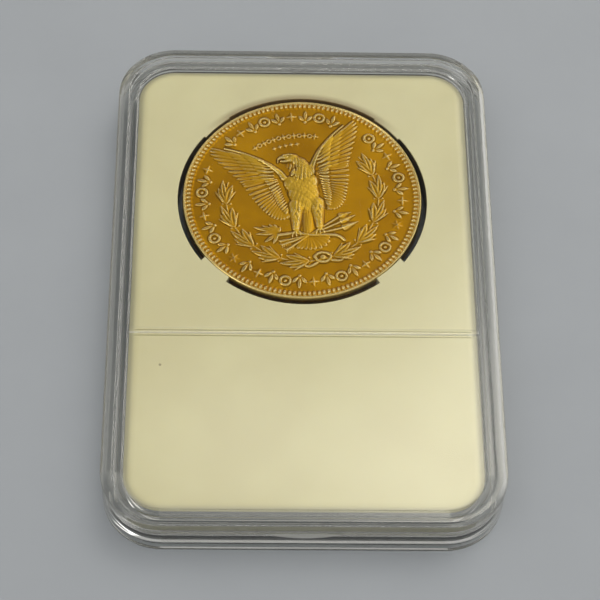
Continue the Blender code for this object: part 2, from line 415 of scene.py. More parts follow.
def clear_plastic(name, window_tint, rim_tint):
    """Polystyrene that lamps shine through. Its thick rim is greyer than its thin window."""
    shader = Shader(bpy.data.materials.new(name))
    where = shader.place()
    haze = shader.noise(where, 90.0, detail=3.0)
    rough = shader.ramp(haze, 0.45, 0.75, CLEAN_ROUGHNESS, CLEAN_ROUGHNESS + HAZE_ROUGHNESS)
    rough = shader.math("MULTIPLY_ADD", scratches(shader, where), SCUFF_ROUGHNESS, rough)
    outward = shader.outward(where)
    window_edge = CORNER_RADIUS - LEDGE_INNER_INSET
    in_rim = shader.ramp_mm(outward, window_edge - 0.6, window_edge + 0.2)
    in_window = shader.math("SUBTRACT", 1.0, in_rim)
    tint = shader.blend(in_rim, window_tint, rim_tint)
    tint = shader.blend(shader.product(haze, HAZE_TINT_SHARE), tint, HAZE_TINT)
    glass = shader.add("BsdfGlass", {"Color": tint, "Roughness": rough, "IOR": PLASTIC_IOR})
    matt = shader.add("BsdfDiffuse", {"Color": MATT_COLOUR})
    body = shader.mix(scattered_share(shader, where, outward, in_window), glass, matt)
    shadow = shader.blend(in_rim, WINDOW_SHADOW, RIM_SHADOW)
    through = shader.add("BsdfTransparent", {"Color": shadow})
    ray = shader.add("LightPath").outputs
    goes_straight = shader.math("MAXIMUM", ray["Is Shadow Ray"], ray["Is Diffuse Ray"])
    return shader.finish(shader.mix(goes_straight, body, through))


def shell_outside(mirror):
    """The shell's outer profile from window to seam, as (inset, height, fillet radius)."""
    corners = [
        (SHELL_CAP_INSET, WINDOW_DROP, 0.0),
        (LEDGE_INNER_INSET + 0.12, WINDOW_DROP, 0.12),
        (LEDGE_INNER_INSET, LEDGE_DROP, 0.12),
        (RIM_INNER_INSET + 0.1, LEDGE_DROP, 0.15),
        (RIM_INNER_INSET, 0.0, 0.16),
        (SHOULDER_INSET, 0.0, 0.12),
        (0.0, SHOULDER_DROP, 0.16),
        (0.0, WALL_HEIGHT, 0.5),
        (WAIST_DEPTH, WALL_HEIGHT + WAIST_SLOPE, 0.5),
        (WAIST_DEPTH, SEAM - SEAM_GAP / 2, 0.06),
    ]
    return [(inset, SLAB_TOP - drop if mirror else drop, r) for inset, drop, r in corners]


def shell_inside(outer, inner, seam, tip, root_fillet, tip_fillet, plate):
    """The inner profile, from the tongue or groove in the seam to the window's inner face."""
    return [
        (outer, seam, root_fillet),
        (outer, tip, tip_fillet),
        (inner, tip, tip_fillet),
        (inner, seam, root_fillet),
        (LEDGE_INNER_INSET, seam, 0.05),
        (LEDGE_INNER_INSET, plate, 0.1),
        (SHELL_CAP_INSET, plate, 0.0),
    ]


def shell_body(name, profile):
    return loft(name, [slab_ring(inset, height) for inset, height in fillet(profile)])


def finish_shell(shell, material, node):
    shade_by_angle(shell.data, SHELL_SHARP_ANGLE)
    flatten_normals(shell)
    dress(shell, material, node)


def build_upper_shell():
    groove = shell_inside(
        outer=TONGUE_OUTER_INSET - TONGUE_CLEARANCE,
        inner=TONGUE_INNER_INSET + TONGUE_CLEARANCE,
        seam=SEAM + SEAM_GAP / 2,
        tip=TONGUE_TOP + TONGUE_CLEARANCE,
        root_fillet=0.0,
        tip_fillet=0.05,
        plate=SLAB_TOP - WINDOW_DROP - PLATE,
    )
    shell = shell_body("clear_upper_shell", shell_outside(True) + groove)
    for added in (rib_body(), tab_body(-1), tab_body(1)):
        combine(shell, added, "UNION")
    plastic = clear_plastic("clear_upper", UPPER_WINDOW_TINT, UPPER_RIM_TINT)
    finish_shell(shell, plastic, "upper_shell")


def rib_body():
    """The divider: a low bar with sloping sides, sunk into plate and ledges."""
    top = SLAB_TOP - WINDOW_DROP
    half = RIB_WIDTH / 2
    section = [
        (-half, top - RIB_ROOT),
        (half, top - RIB_ROOT),
        (half, top),
        (half - RIB_SIDE_SLOPE + RIB_EDGE, top + RIB_HEIGHT - RIB_EDGE),
        (half - RIB_SIDE_SLOPE - 0.02, top + RIB_HEIGHT),
    ]
    section += [(-across, up) for across, up in reversed(section[2:])]
    reach = SLAB_HALF.x - LEDGE_INNER_INSET + RIB_ROOT
    rings = [[(x, RIB_Y + across, up) for across, up in section] for x in (-reach, reach)]
    return loft("rib", rings)


def tab_body(end):
    """The grip tab in the middle of a short end: the wall bows down over the waist."""
    wall_edge = SLAB_TOP - WALL_HEIGHT
    bow_radius = (TAB_HALF_WIDTH**2 + TAB_FALL**2) / (2 * TAB_FALL)
    bow_angle = math.asin(TAB_HALF_WIDTH / bow_radius)
    section = []
    for step in range(TAB_STEPS + 1):
        angle = bow_angle * (2 * step / TAB_STEPS - 1)
        drop = TAB_FALL - bow_radius * (1 - math.cos(angle))
        section.append((bow_radius * math.sin(angle), wall_edge - drop))
    section.append((TAB_HALF_WIDTH, wall_edge + TAB_ROOT))
    section.append((-TAB_HALF_WIDTH, wall_edge + TAB_ROOT))
    front = SLAB_HALF.y - TAB_SET_BACK
    back = SLAB_HALF.y - WAIST_DEPTH - TAB_ROOT
    rings = [[(x, end * y, height) for x, height in section] for y in (front, back)]
    return loft("tab", rings)


def build_lower_shell():
    tongue = shell_inside(
        outer=TONGUE_OUTER_INSET,
        inner=TONGUE_INNER_INSET,
        seam=SEAM - SEAM_GAP / 2,
        tip=TONGUE_TOP,
        root_fillet=0.04,
        tip_fillet=0.1,
        plate=WINDOW_DROP + PLATE,
    )
    shell = shell_body("clear_lower_shell", shell_outside(False) + tongue)
    plastic = clear_plastic("clear_lower", LOWER_WINDOW_TINT, LOWER_RIM_TINT)
    finish_shell(shell, plastic, "lower_shell")


# ---------------------------------------------------------------- insert
CREAM_DARK = (0.595, 0.545, 0.315)
CREAM_PALE = (0.645, 0.60, 0.352)
BORDER_SHADE = (0.33, 0.305, 0.195)
WELL_WALL_SHADE = (0.02, 0.014, 0.008)
WELL_RIM_SHADE = (0.17, 0.095, 0.03)
DIRT = (0.12, 0.09, 0.05)
CREAM_SCATTER = (0.002, 0.0016, 0.0009)

CORE_SHARP_ANGLE = 35
CORE_CAP_INSET = 0.8
CORE_BASE_EDGE = 0.15
BORDER_EDGE = 0.1
BORDER_STEPS = 12
PRONG_ANGLES = (45.0, 135.0, 225.0, 315.0)
WELL_STEP = 1.5
EDGE_STEPS = 4
LABEL_CORNER = 1.0
# How far a cutter reaches beyond the insert
OVERCUT = 1.0


def cream_plastic():
    """Soft moulded cream plastic: faint mottling, fine grain, painted shade in the low border and
    round the well.
    """
    shader = Shader(bpy.data.materials.new("cream_insert"))
    where = shader.place()
    cloud = shader.noise(where, 60.0, detail=3.0, roughness=0.6)
    colour = shader.blend(shader.ramp(cloud, 0.3, 0.7), CREAM_DARK, CREAM_PALE)
    top = CORE_HIGH.z
    height = shader.axes(where)[2]
    # Painted shade: the low border round the insert's edge is darker, where the rim's shadow
    # falls.
    low = shader.ramp_mm(height, top - 0.26, top - 0.01, 0.8, 0.0)
    colour = shader.blend(low, colour, BORDER_SHADE)
    # The dark far wall and the brown band behind it stand in for the narrow gap's deep shade.
    from_well = shader.vector("SUBTRACT", where, (0.0, WELL_Y * MM, 0.0))
    radius = shader.vector("LENGTH", shader.vector("MULTIPLY", from_well, (1.0, 1.0, 0.0)))
    up_slab = shader.axes(from_well)[1]
    wall = shader.product(
        shader.ramp_mm(radius, WELL_RADIUS + 0.05, WELL_RADIUS + 0.3, 0.96, 0.0),
        shader.ramp_mm(height, top - 0.3, top - 0.02, 1.0, 0.0),
        shader.ramp_mm(up_slab, -17.0, -8.0),
    )
    colour = shader.blend(wall, colour, WELL_WALL_SHADE)
    rim = shader.product(
        shader.ramp_mm(radius, WELL_RADIUS + 0.1, WELL_RADIUS + 1.3, 0.6, 0.0),
        shader.ramp_mm(up_slab, 12.0, 17.0),
    )
    colour = shader.blend(rim, colour, WELL_RIM_SHADE)
    # A rare cell of a fine pattern holds a dark speck.
    speck = shader.add("TexVoronoi", {"Vector": where, "Scale": 140.0, "Randomness": 1.0})
    chance = shader.add("SeparateColor", {0: speck.outputs["Color"]}).outputs[0]
    rare = shader.math("GREATER_THAN", chance, 0.93)
    dot = shader.math("LESS_THAN", speck.outputs["Distance"], 0.035)
    colour = shader.blend(shader.product(rare, dot, 0.6), colour, DIRT)
    return shader.principled(
        colour,
        roughness=shader.math("MULTIPLY_ADD", cloud, 0.15, 0.38),
        normal=shader.bump(shader.noise(where, 2600.0), strength=0.12, depth=0.03),
        subsurface_weight=0.15,
        subsurface_radius=CREAM_SCATTER,
        subsurface_scale=0.6,
    )


def well_outline(between, between_y, at_prong, ease=0.0):
    """(x, y) round the well, whose radius changes at the four prongs. ease makes it wider."""
    outline = []
    half = PRONG_HALF_ANGLE - math.degrees(ease / at_prong)
    for prong in PRONG_ANGLES:
        for radius, centre_y, start, end in (
            (at_prong, COIN_CENTRE.y, prong - half, prong + half),
            (between, between_y, prong + half, prong + 90.0 - half),
        ):
            steps = round((end - start) / WELL_STEP)
            for step in range(steps + 1):
                angle = math.radians(start + (end - start) * step / steps)
                x = COIN_CENTRE.x + (radius + ease) * math.cos(angle)
                y = centre_y + (radius + ease) * math.sin(angle)
                outline.append((x, y))
    return outline


def eased_heights(bottom, top, ease):
    """(ease, height) steps for a cutter that leaves a round edge at height top."""
    steps = [(0.0, bottom)]
    for step in range(EDGE_STEPS + 1):
        angle = math.radians(90 * step / EDGE_STEPS)
        steps.append((ease * (1 - math.cos(angle)), top - ease * (1 - math.sin(angle))))
    steps.append((ease, top + OVERCUT))
    return steps


def cut_well(core, between, between_y, at_prong, floor):
    rings = []
    for ease, height in eased_heights(floor, CORE_HIGH.z, CORE_EDGE):
        outline = well_outline(between, between_y, at_prong, ease)
        rings.append([(x, y, height) for x, y in outline])
    combine(core, loft("well", rings), "DIFFERENCE")


def cut_score(core, middle):
    """A fine line across the insert, with sloping sides."""
    high = CORE_HIGH.z
    low_side, high_side = middle - SCORE_HALF_WIDTH, middle + SCORE_HALF_WIDTH
    section = [
        (middle, high - SCORE_DEPTH),
        (high_side, high + 0.01),
        (high_side, high + OVERCUT),
        (low_side, high + OVERCUT),
        (low_side, high + 0.01),
    ]
    ends = (CORE_LOW.x - OVERCUT, CORE_HIGH.x + OVERCUT)
    combine(core, loft("score", [[(x, y, z) for y, z in section] for x in ends]), "DIFFERENCE")


def label_size():
    """The label's half width, half length and middle y."""
    half = (LABEL_HIGH - LABEL_LOW) / 2
    return half.x, half.y, (LABEL_HIGH.y + LABEL_LOW.y) / 2


def cut_pocket(core):
    """The label's pocket in the underside."""
    half_x, half_y, middle = label_size()
    outline = rounded_rectangle(
        half_x + POCKET_GAP, half_y + POCKET_GAP, LABEL_CORNER + POCKET_GAP, 8
    )
    heights = (CORE_LOW.z - OVERCUT, CORE_LOW.z + POCKET_DEPTH)
    pocket = [[(x, middle + y, z) for x, y in outline] for z in heights]
    combine(core, loft("pocket", pocket), "DIFFERENCE")


def build_core():
    inset = SLAB_HALF.x - CORE_HIGH.x
    low, high = CORE_LOW.z, CORE_HIGH.z
    border = high - BORDER_DROP
    profile = [
        (inset + CORE_CAP_INSET, low),
        (inset + CORE_BASE_EDGE, low),
        (inset, low + CORE_BASE_EDGE),
        (inset, border - 0.12),
        (inset + 0.04, border - 0.03),
    ]
    for step in range(BORDER_STEPS + 1):
        share = step / BORDER_STEPS
        across = BORDER_EDGE + (BORDER_WIDTH - BORDER_EDGE) * share
        profile.append((inset + across, high - BORDER_DROP * (1 - share) ** 2))
    core = loft("cream_core_insert", [slab_ring(*point) for point in profile])
    for side in (-1, 1):
        cut_score(core, RIB_Y + side * SCORE_OFFSET)
    cut_well(core, WELL_RADIUS, WELL_Y, TOE_RADIUS, low - OVERCUT)
    seat = COIN_RADIUS + SEAT_GAP
    cut_well(core, seat, COIN_CENTRE.y, seat, TOE_TOP)
    cut_pocket(core)
    shade_by_angle(core.data, CORE_SHARP_ANGLE)
    flatten_normals(core)
    dress(core, cream_plastic(), "core_insert")


# ---------------------------------------------------------------- coin relief
def along(points, share):
    """The point at share, 0 to 1, of a smooth curve through points."""
    points = np.array(points, float)
    spans = len(points) - 1
    place = min(max(share, 0.0), 1.0) * spans
    index = min(int(place), spans - 1)
    u = place - index
    start, end = points[index], points[index + 1]
    before = points[max(index - 1, 0)]
    after = points[min(index + 2, spans)]
    return 0.5 * (
        2 * start
        + (end - before) * u
        + (2 * before - 5 * start + 4 * end - after) * u**2
        + (3 * start - before - 3 * end + after) * u**3
    )


def polar(radius, degrees):
    angle = math.radians(degrees)
    return np.array((radius * math.cos(angle), radius * math.sin(angle)))


class Relief:
    """Heights over the coin's field, in millimetres, at the points of its mesh."""

    def __init__(self, x, y):
        self.x = x
        self.y = y
        self.height = np.zeros_like(x)

    def near(self, low, high):
        inside = (self.x > low[0]) & (self.x < high[0])
        inside &= (self.y > low[1]) & (self.y < high[1])
        return np.nonzero(inside)[0]

    def put(self, index, height, melt=0.0):
        """Raises the points to height. melt rounds the valley where shapes meet."""
        old = self.height[index]
        raised = np.maximum(old, height)
        if melt:
            overlap = np.maximum(melt - np.abs(old - height), 0.0)
            raised = raised + overlap**2 / (4 * melt)
        self.height[index] = raised

    def leaf(
        self, base, tip, half_width, rise, belly=0.45, fullness=0.8, level=0.0,
        slant=0.0, groove=0.0, groove_width=0.07, bend=0.0, emboss=False,
    ):
        """A leaf or feather from base to tip, with its widest place at belly."""
        base, tip = np.array(base, float), np.array(tip, float)
        axis = tip - base
        length = np.hypot(*axis)
        reach = half_width + abs(bend) * length + 0.05
        index = self.near(np.minimum(base, tip) - reach, np.maximum(base, tip) + reach)
        dx, dy = self.x[index] - base[0], self.y[index] - base[1]
        t = (dx * axis[0] + dy * axis[1]) / length**2
        s = (dy * axis[0] - dx * axis[1]) / length
        inside = (t > 0.0) & (t < 1.0)
        index, t, s = index[inside], t[inside], s[inside]
        s = s - bend * length * 4 * t * (1 - t)
        widest = math.log(0.5) / math.log(belly)
        shape = np.sin(np.pi * t**widest) ** fullness
        v = s / np.maximum(half_width * shape, 1e-6)
        inside = np.abs(v) < 1.0
        index, s, v, shape = index[inside], s[inside], v[inside], shape[inside]
        height = rise * np.sqrt(shape) * (1 - v**2) ** 0.6 + slant * v
        if groove:
            height = height - groove * np.exp(-((s / groove_width) ** 2)) * shape
        if emboss:
            self.height[index] += height
        else:
            self.put(index, level + height)

    def feather(self, root, length, degrees, half_width, rise, **shape):
        """A small feather pressed on top of the shape that is there."""
        self.leaf(root, root + polar(length, degrees), half_width, rise, emboss=True, **shape)

    def dome(self, centre, radii, degrees, rise, level=0.0, melt=0.0):
        """Half an ellipsoid."""
        reach = max(radii) + 0.05
        centre = np.array(centre, float)
        index = self.near(centre - reach, centre + reach)
        dx, dy = self.x[index] - centre[0], self.y[index] - centre[1]
        c, s = math.cos(math.radians(degrees)), math.sin(math.radians(degrees))
        u = (dx * c + dy * s) / radii[0]
        v = (dy * c - dx * s) / radii[1]
        left = 1 - u**2 - v**2
        inside = left > 0
        self.put(index[inside], level + rise * np.sqrt(left[inside]), melt)

    def curve(self, points, count, start_width, end_width, rise, level=0.0, melt=0.0):
        """A round bar along a smooth curve through points, drawn in count straight steps."""
        line = [along(points, share) for share in np.linspace(0, 1, count)]
        self.stroke(line, start_width, end_width, rise, level, melt)

    def stroke(self, points, start_width, end_width, rise, level=0.0, melt=0.0):
        """A round bar along points, tapering from one half width to the other."""
        points = np.array(points, float)
        widest = max(start_width, end_width)
        index = self.near(points.min(0) - widest, points.max(0) + widest)
        x, y = self.x[index], self.y[index]
        best = np.full(len(index), -1.0)
        spans = len(points) - 1
        for number, (start, end) in enumerate(zip(points, points[1:])):
            axis = end - start
            size = max(axis @ axis, 1e-9)
            t = np.clip(((x - start[0]) * axis[0] + (y - start[1]) * axis[1]) / size, 0, 1)
            away = np.hypot(x - start[0] - t * axis[0], y - start[1] - t * axis[1])
            share = (number + t) / spans
            width = start_width + (end_width - start_width) * share
            best = np.maximum(best, 1 - (away / width) ** 2)
        inside = best > 0
        self.put(index[inside], level + rise * np.sqrt(best[inside]), melt)

    def star(self, centre, outer, inner, arms, degrees, rise):
        """A faceted star with a ridge along each arm."""
        centre = np.array(centre, float)
        index = self.near(centre - outer, centre + outer)
        dx, dy = self.x[index] - centre[0], self.y[index] - centre[1]
        half = math.pi / arms
        turn = np.arctan2(dy, dx) - math.radians(degrees) + half
        turn = np.abs(np.mod(turn, 2 * half) - half)
        edge = outer * inner * math.sin(half)
        edge = edge / (inner * np.sin(half - turn) + outer * np.sin(turn))
        height = rise * (1 - np.hypot(dx, dy) / edge)
        inside = height > 0
        self.put(index[inside], height[inside])

    def ring(self, centre, radius, half_width, rise):
        angles = np.linspace(0, 2 * math.pi, 17)
        circle = [centre + radius * np.array((math.cos(a), math.sin(a))) for a in angles]
        self.stroke(circle, half_width, half_width, rise)


# The bird's right wing, in the coin's upright frame. The left wing is its mirror image.
WING_FRONT = [(2.3, 4.3), (2.6, 5.3), (3.2, 6.3), (4.5, 8.0), (5.9, 9.3), (7.8, 10.8), (9.9, 12.1)]
PRIMARY_ROOTS = [(4.8, 4.4), (4.7, 5.6), (4.9, 6.8), (5.3, 8.0), (5.9, 9.1)]
PRIMARY_TIPS = [
    (8.8, 4.6), (9.3, 5.6), (10.0, 6.9), (10.9, 8.6), (11.8, 10.3), (12.3, 11.8), (12.0, 12.7),
]
PRIMARY_COVERT_ROOTS = [(4.3, 4.6), (4.2, 6.2), (4.8, 7.8), (5.6, 8.9)]
PRIMARY_COVERT_TIPS = [(7.3, 5.0), (8.0, 7.2), (8.9, 9.4), (9.9, 11.5)]
WRIST_COVERT_ROOTS = [(3.6, 4.6), (3.5, 6.0), (4.0, 7.2), (5.0, 8.4)]
WRIST_COVERT_TIPS = [(5.9, 4.9), (6.2, 6.9), (6.9, 8.8), (7.7, 10.3)]
SECONDARY_ROOTS = [(4.7, 4.4), (4.4, 2.4), (4.2, 1.2), (4.0, -0.1), (3.7, -1.3), (3.3, -2.2)]
SECONDARY_TIPS = [
    (8.7, 4.2), (8.2, 2.1), (7.5, 0.4), (6.9, -1.0),
    (6.2, -2.2), (5.4, -3.1), (4.3, -3.5), (3.2, -3.3),
]
INNER_COVERT_ROOTS = [(3.3, 4.3), (3.2, 2.4), (3.1, 0.4), (2.9, -1.6)]
INNER_COVERT_TIPS = [(5.3, 4.3), (4.9, 2.4), (4.6, 1.0), (4.5, -0.2), (4.2, -1.4), (3.7, -2.6)]
# Rows from the lowest layer to the highest: count, roots, tips, half width, level and rise
FEATHER_ROWS = (
    (17, SECONDARY_ROOTS, SECONDARY_TIPS, 0.31, 0.04, 0.26),
    (11, PRIMARY_ROOTS, PRIMARY_TIPS, 0.34, 0.05, 0.26),
    (14, INNER_COVERT_ROOTS, INNER_COVERT_TIPS, 0.24, 0.2, 0.2),
    (9, PRIMARY_COVERT_ROOTS, PRIMARY_COVERT_TIPS, 0.33, 0.16, 0.24),
    (8, WRIST_COVERT_ROOTS, WRIST_COVERT_TIPS, 0.28, 0.28, 0.22),
)
# The bird's axis lies this far right of the coin's middle.
BIRD_SHIFT = 0.45
WING_REACH = 12.0


def draw_wing(relief, side):
    """Rows of strap-shaped feathers under a round leading edge. side is 1 or -1."""

    def place(points, share):
        x, y = along(points, share)
        return np.array((side * x + BIRD_SHIFT * (1 - x / WING_REACH), y))

    for count, roots, tips, half_width, level, rise in FEATHER_ROWS:
        for number in range(count):
            share = number / (count - 1)
            relief.leaf(
                place(roots, share), place(tips, share), half_width, rise, belly=0.7,
                fullness=0.42, level=level, slant=0.07 * side, groove=0.05,
                bend=-0.025 * side,
            )
    front = [place(WING_FRONT, share) for share in np.linspace(0.0, 1.0, 24)]
    relief.stroke(front, 0.5, 0.12, 0.2, level=0.34, melt=0.1)
    for line in range(6):
        for number in range(5):
            share = (number + 0.5 * (line % 2)) / 5
            inner = place(WING_FRONT, 0.08 + 0.5 * share)
            outer = place(WRIST_COVERT_ROOTS, share)
            root = inner + (outer - inner) * (line / 5)
            heading = 90 - side * (75 - 25 * share)
            relief.feather(root, 0.8, heading, 0.22, 0.12, belly=0.6, fullness=0.45, groove=0.04)


# Centre, radii, lean in degrees and rise of the belly and the two shoulders
BODY_DOMES = (
    ((0.45, 1.0), (2.45, 3.7), -4, 0.8),
    ((-0.85, 2.9), (1.4, 1.6), 15, 0.72),
    ((1.8, 2.7), (1.45, 1.6), -15, 0.72),
)
NECK = [(1.35, 3.8), (1.65, 5.2), (1.4, 6.5), (0.6, 7.5)]
UPPER_BEAK = [(-0.7, 8.15), (-1.4, 8.25), (-1.95, 8.0), (-2.15, 7.5)]
LOWER_BEAK = [(-0.6, 7.4), (-1.2, 7.45), (-1.6, 7.6)]
BROW = [(-1.0, 8.5), (-0.3, 8.5), (0.4, 8.35)]
COLLAR_TIPS = [(-0.7, 4.2), (0.0, 3.8), (0.74, 3.4), (1.6, 3.4), (2.5, 3.6), (3.1, 4.1)]


def draw_body(relief):
    """Chest, neck, head and beak, then small feathers over them."""
    for centre, radii, degrees, rise in BODY_DOMES:
        relief.dome(centre, radii, degrees, rise, melt=0.2)
    relief.stroke(NECK, 1.5, 0.8, 0.8, melt=0.1)
    relief.dome((0.2, 7.8), (1.2, 0.78), 4, 0.88, melt=0.1)
    relief.stroke(UPPER_BEAK, 0.4, 0.1, 0.5, level=0.28)
    relief.stroke(LOWER_BEAK, 0.26, 0.12, 0.36, level=0.22)
    relief.stroke(BROW, 0.15, 0.12, 0.16, level=0.74)
    relief.dome((-0.4, 8.05), (0.17, 0.17), 0, 0.14, level=0.82)
    for line in range(8):
        share = line / 7
        left = np.array((-0.3 + 0.5 * share, 7.3 - 2.9 * share))
        right = np.array((1.75 + 1.3 * share, 8.0 - 3.2 * share))
        for number in range(6):
            across = (number + 0.5 * (line % 2)) / 5.5
            root = left + (right - left) * across
            heading = -118 + 52 * across
            relief.feather(root, 1.35, heading, 0.24, 0.18, belly=0.62, fullness=0.5, groove=0.06)
    for number, tip in enumerate(COLLAR_TIPS):
        root = (0.3 + 0.42 * number, 5.8)
        relief.leaf(root, tip, 0.34, 0.2, belly=0.62, level=0.72, groove=0.08)
    for line in range(12):
        height = 3.9 - 0.53 * line
        reach = 2.55 - 0.011 * line**2
        for number in range(6):
            wobble = 0.16 * math.sin(3.1 * number + 1.7 * line)
            share = (number + 0.25 + 0.5 * (line % 2)) / 3 - 1
            root = np.array((0.5 + share * reach, height - 0.3 * share**2 + wobble))
            heading = -92 + 14 * share
            relief.feather(root, 1.05, heading, 0.26, 0.1, belly=0.66, fullness=0.6, groove=0.05)


TAIL_TIPS = [
    (2.3, -8.5), (1.9, -9.5), (0.8, -10.1), (-0.5, -10.1),
    (-1.5, -9.9), (-2.5, -9.5), (-3.2, -9.25),
]
# Each leg's hip and foot
LEGS = (((-1.35, -1.3), (-2.45, -5.6)), ((2.0, -1.6), (1.3, -6.0)))


def draw_legs_and_tail(relief):
    for number in range(9):
        relief.leaf(
            (-0.7, -6.8), along(TAIL_TIPS, number / 8), 0.46, 0.2, belly=0.78, fullness=0.45,
            level=0.06, slant=0.05, groove=0.07,
        )
    relief.stroke([(0.4, -1.6), (-0.1, -4.0), (-0.75, -6.6)], 0.9, 0.7, 0.28, melt=0.1)
    for share in (-0.66, -0.22, 0.22, 0.66):
        relief.leaf(
            (0.35 + share * 0.9, -2.5), (share * 0.95 - 0.8, -7.0), 0.24, 0.12, belly=0.6,
            fullness=0.4, groove=0.05, emboss=True,
        )
    for hip, foot in LEGS:
        hip, foot = np.array(hip), np.array(foot)
        middle = hip * 0.45 + foot * 0.55
        relief.stroke([hip, middle, foot], 1.2, 0.62, 0.72, melt=0.15)
        for number in range(24):
            across = (0.7 - 0.014 * number) * math.sin(2.4 * number)
            start = hip + (foot - hip) * number / 30 + np.array((across, 0.0))
            relief.leaf(
                start, start + (foot - hip) * 0.24, 0.2, 0.13, belly=0.6, fullness=0.6,
                groove=0.06, emboss=True,
            )
        for spread in (-0.72, -0.2, 0.34):
            knuckle = foot + np.array((spread, -0.75))
            claw = foot + np.array((spread * 1.3, -1.35))
            relief.stroke([foot - (0, 0.4), knuckle, claw], 0.26, 0.12, 0.42, level=0.12)


BRANCH_STEM = [(-5.45, -6.1), (-2.7, -6.4), (-0.4, -7.3), (3.3, -8.2), (4.4, -9.4)]
BRANCH_HEAD = (-5.4, -5.8)
BRANCH_TIPS = [
    (-9.0, -3.7), (-8.9, -5.1), (-7.6, -3.7), (-6.4, -3.7),
    (-5.6, -3.9), (-4.8, -4.6), (-7.9, -6.9), (-6.6, -7.5),
]
# The arrows cross in the claws. Each has its tail, the base of its head and its point.
ARROW_CROSSING = (-0.8, -7.3)
ARROWS = (
    ((-5.4, -7.35), (4.9, -4.9), (7.0, -4.5)),
    ((-5.3, -8.05), (4.9, -5.9), (7.5, -5.2)),
    ((-4.8, -9.1), (4.95, -7.1), (7.6, -6.5)),
)


def draw_branch_and_arrows(relief):
    relief.curve(BRANCH_STEM, 24, 0.26, 0.24, 0.32, level=0.08)
    crossing = np.array(ARROW_CROSSING)
    for tail, base, head in ARROWS:
        tail, base, head = np.array(tail), np.array(base), np.array(head)
        relief.stroke([tail, crossing, base], 0.17, 0.15, 0.26, level=0.06)
        relief.leaf(
            base - (head - base) * 0.1, head, 0.62, 0.34, belly=0.13, fullness=1.1,
            level=0.08, groove=-0.14, groove_width=0.1,
        )
        for step in range(5):
            barb = tail + (crossing - tail) * (0.02 + 0.07 * step)
            for turn in (150, 250):
                relief.stroke([barb, barb + polar(0.5, turn)], 0.11, 0.07, 0.22)
    for tip in BRANCH_TIPS:
        relief.leaf(
            BRANCH_HEAD, tip, 0.34, 0.36, belly=0.5, level=0.06, groove=0.14, groove_width=0.1,
        )


WREATH_RADIUS = 12.1
# Where the leaf clusters stand on each arm, in degrees from the bow
CLUSTER_OFFSETS = (8, 30, 52, 74, 96)
# Turn in degrees, length, half width and shift along the stem of each leaf in a cluster
CLUSTER_LEAVES = (
    (17, 3.9, 0.62, 0.2),
    (-5, 4.4, 0.5, 0.6),
    (-20, 3.5, 0.48, 0.2),
    (-36, 3.0, 0.17, 0.4),
    (34, 2.9, 0.2, 0.3),
)
BOW_LOOP = [
    (-0.95, -11.3), (-0.07, -10.85), (1.1, -11.15), (1.55, -11.9),
    (0.7, -12.6), (-0.5, -12.3), (-0.95, -11.3),
]
# The bow's knot and its right tail, measured from the knot's own x
KNOT_X = 0.3
BOW_TAIL = [(0.0, -11.7), (1.3, -12.6), (2.6, -12.9), (3.2, -12.4)]


def draw_wreath(relief):
    """Two arms of leaf clusters that climb from the bow at the bottom."""
    for side in (-1, 1):
        stem = [polar(WREATH_RADIUS, -90 + side * (5 + 112 * n / 40)) for n in range(41)]
        relief.stroke(stem, 0.15, 0.1, 0.15)
        for offset in CLUSTER_OFFSETS:
            root = polar(WREATH_RADIUS, -90 + side * offset)
            heading = side * (offset + 5) - (0 if side > 0 else 180)
            for turn, length, half_width, shift in CLUSTER_LEAVES:
                start = root + polar(shift, heading)
                relief.leaf(
                    start, start + polar(length, heading + side * turn), half_width, 0.4,
                    belly=0.46, level=0.06, groove=0.26, groove_width=half_width * 0.34,
                    bend=-0.04 * side,
                )
            for turn in (-66, 62):
                berry = root + polar(0.72, heading + turn)
                relief.stroke([root, berry], 0.08, 0.08, 0.12)
                relief.dome(berry, (0.19, 0.19), 0, 0.16)
    relief.curve(BOW_LOOP, 30, 0.24, 0.24, 0.32, level=0.1)
    for side in (-1, 1):
        tail = [(KNOT_X + side * across, up) for across, up in BOW_TAIL]
        relief.curve(tail, 12, 0.28, 0.2, 0.24, level=0.06)
    relief.dome((KNOT_X, -11.8), (0.46, 0.5), 0, 0.3, level=0.18)


ORNAMENT_RADIUS = 15.95
STAR_OFFSET = 57.0
# First angle, last angle and count of the ornaments in the upper and the lower arc
ORNAMENT_ARCS = ((-24.0, 204.0, 29), (-138.0, -42.0, 13))
# The wings' tips take an ornament's place here.
WING_TIP_ANGLES = (46.4, 133.6)
WING_TIP_CLEARANCE = 6.5


def draw_palmette(relief, angle):
    foot = polar(ORNAMENT_RADIUS - 1.1, angle)
    for turn, length in ((-42, 1.7), (42, 1.7), (0, 2.3)):
        relief.leaf(foot, foot + polar(length, angle + turn), 0.34, 0.36, belly=0.6, groove=0.08)
    relief.dome(foot, (0.3, 0.3), 0, 0.28)


def draw_lozenge(relief, angle):
    relief.star(polar(ORNAMENT_RADIUS, angle), 1.15, 0.5, 4, angle, 0.42)


def draw_annulet(relief, angle):
    relief.ring(polar(ORNAMENT_RADIUS, angle), 0.78, 0.24, 0.32)
    relief.dome(polar(ORNAMENT_RADIUS, angle), (0.24, 0.24), 0, 0.26)


